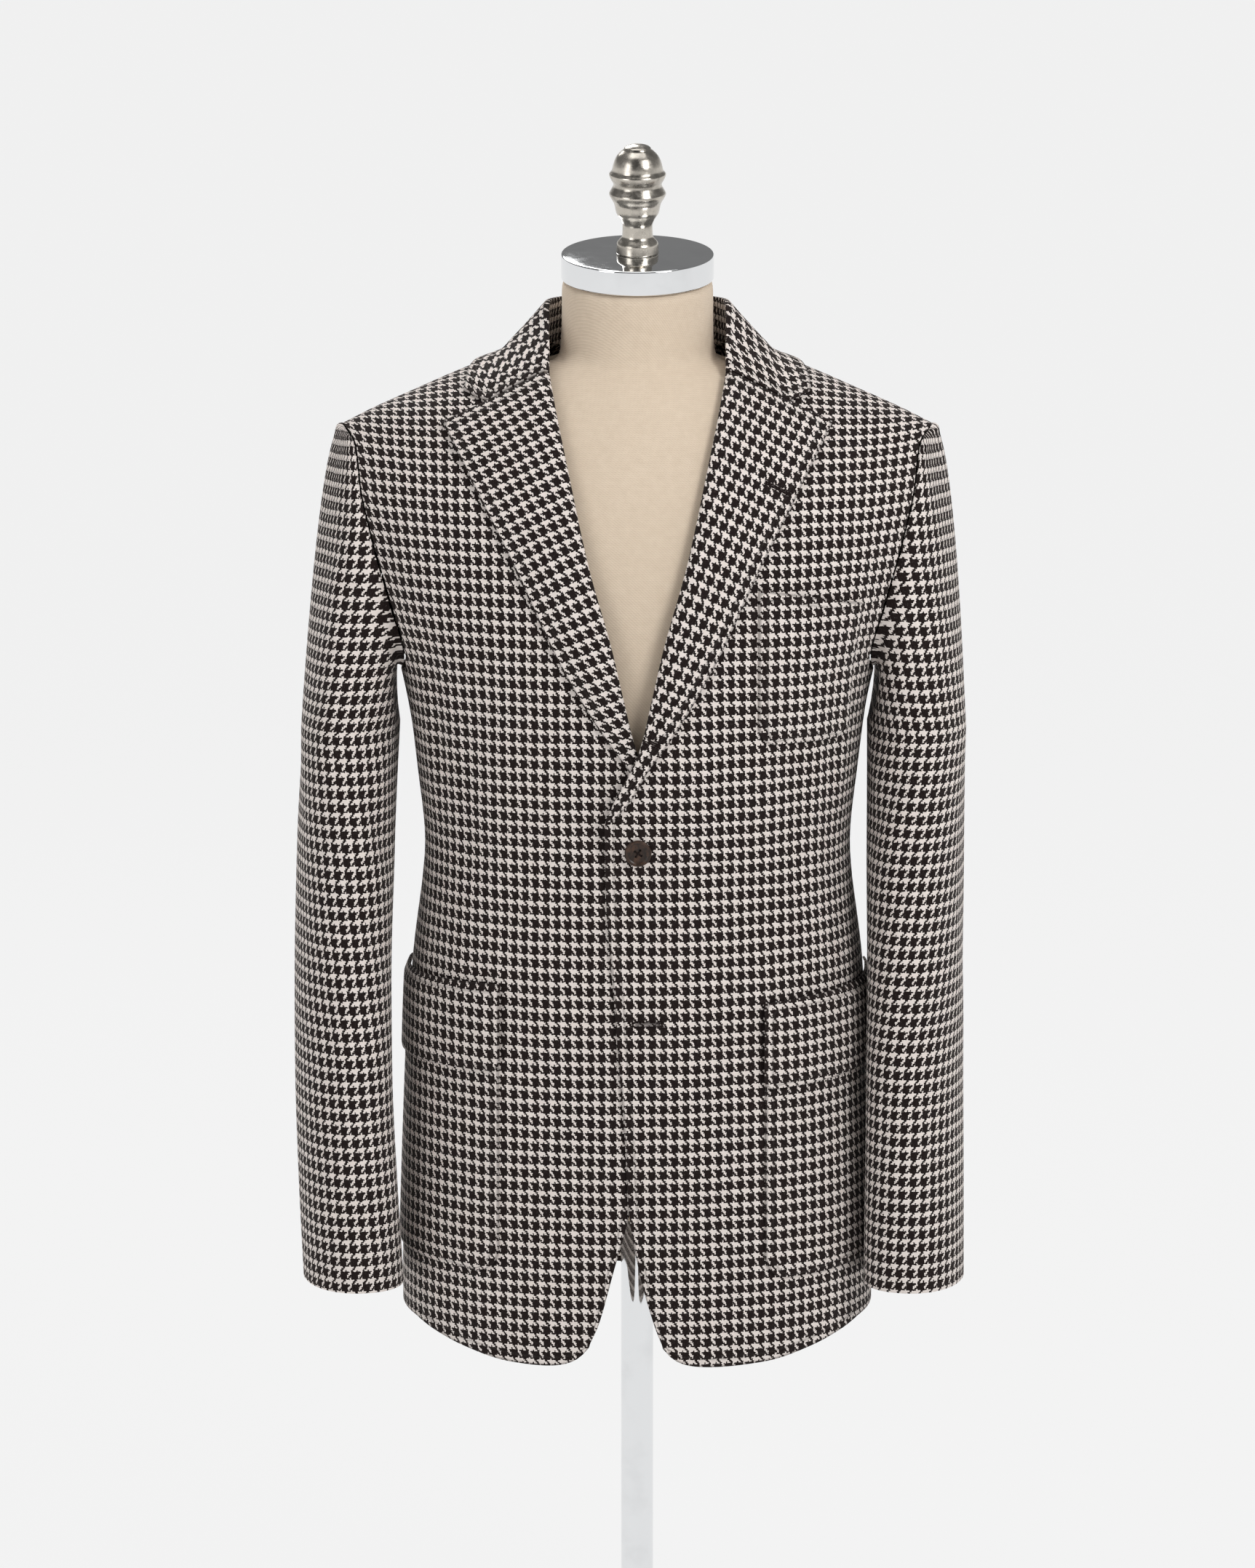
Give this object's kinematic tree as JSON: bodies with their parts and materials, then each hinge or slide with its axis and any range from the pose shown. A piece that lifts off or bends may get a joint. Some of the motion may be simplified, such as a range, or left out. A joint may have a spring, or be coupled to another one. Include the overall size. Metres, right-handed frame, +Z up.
{
  "type": "sport coat on dress form",
  "caption": "Single-breasted houndstooth sport coat with notched lapels, patch and flap pockets and a centre vent, buttoned on a limbless dress form with pole and round base.",
  "frame": {"origin": "centre of the stand's base, on the floor", "axes": "+Z up the pole, the front of the coat faces -Y, the wearer's left side is at +X"},
  "size_m": [0.5114, 0.32, 1.2033],
  "materials": {
    "cloth": "brushed wool houndstooth, warm off-white and brown-black",
    "horn": "polished dark brown horn",
    "linen": "plain beige linen stretched over a padded form",
    "chrome": "mirror chrome",
    "nickel": "aged polished nickel",
    "iron": "satin dark painted iron"
  },
  "bodies": {
    "root": {"front_left": "cloth", "side_left": "cloth", "back_left": "cloth", "top_sleeve_left": "cloth", "under_sleeve_left": "cloth", "lapel_left": "cloth", "patch_pocket_left": "cloth", "pocket_flap_left": "cloth", "front_right": "cloth", "side_right": "cloth", "back_right": "cloth", "top_sleeve_right": "cloth", "under_sleeve_right": "cloth", "lapel_right": "cloth", "patch_pocket_right": "cloth", "pocket_flap_right": "cloth", "collar": "cloth", "breast_pocket": "cloth", "front_button": "horn", "cuff_button_left_1": "horn", "cuff_button_left_2": "horn", "cuff_button_right_1": "horn", "cuff_button_right_2": "horn", "form_torso": "linen", "neck_cap": "chrome", "finial": "nickel", "pole": "chrome", "base": "iron"}
  },
  "joints": []
}
